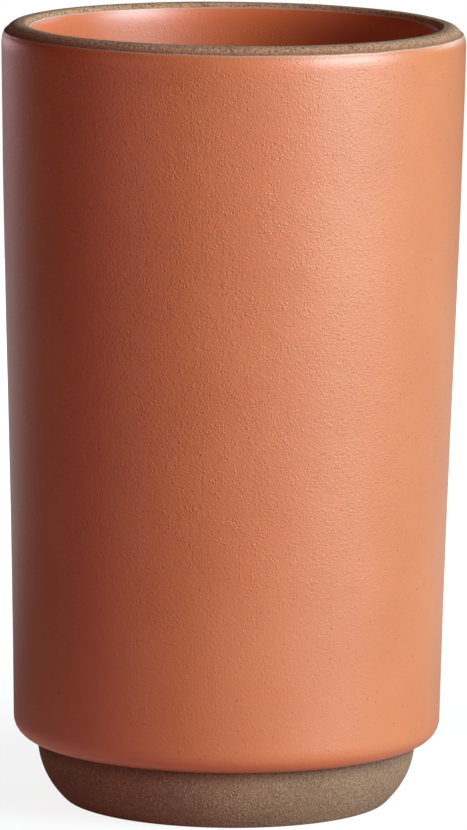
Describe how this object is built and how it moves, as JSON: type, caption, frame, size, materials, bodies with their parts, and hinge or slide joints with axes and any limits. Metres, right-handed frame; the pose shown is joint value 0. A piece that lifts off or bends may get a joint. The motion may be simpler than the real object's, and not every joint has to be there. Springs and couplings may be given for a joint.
{
  "type": "ceramic tumbler",
  "caption": "Tall tapering round stoneware tumbler, satin terracotta glaze inside and out, bare rounded lip, and a bare foot set in under a rounded shoulder.",
  "frame": {"origin": "middle of the foot ring, on the surface that the tumbler stands on", "axes": "+Z is the turning axis, up through the mouth; the cup is round, so +X and +Y are any two level directions"},
  "size_m": [0.08, 0.08, 0.1353],
  "materials": {
    "bare_stoneware": "unglazed, dry and finely sandy, grey-brown with light and dark grains",
    "satin_glaze": "satin terracotta orange with a fine eggshell grain and tiny pinholes"
  },
  "bodies": {
    "root": {"clay_body": "bare_stoneware", "outer_glaze": "satin_glaze", "liner_glaze": "satin_glaze"}
  },
  "joints": []
}
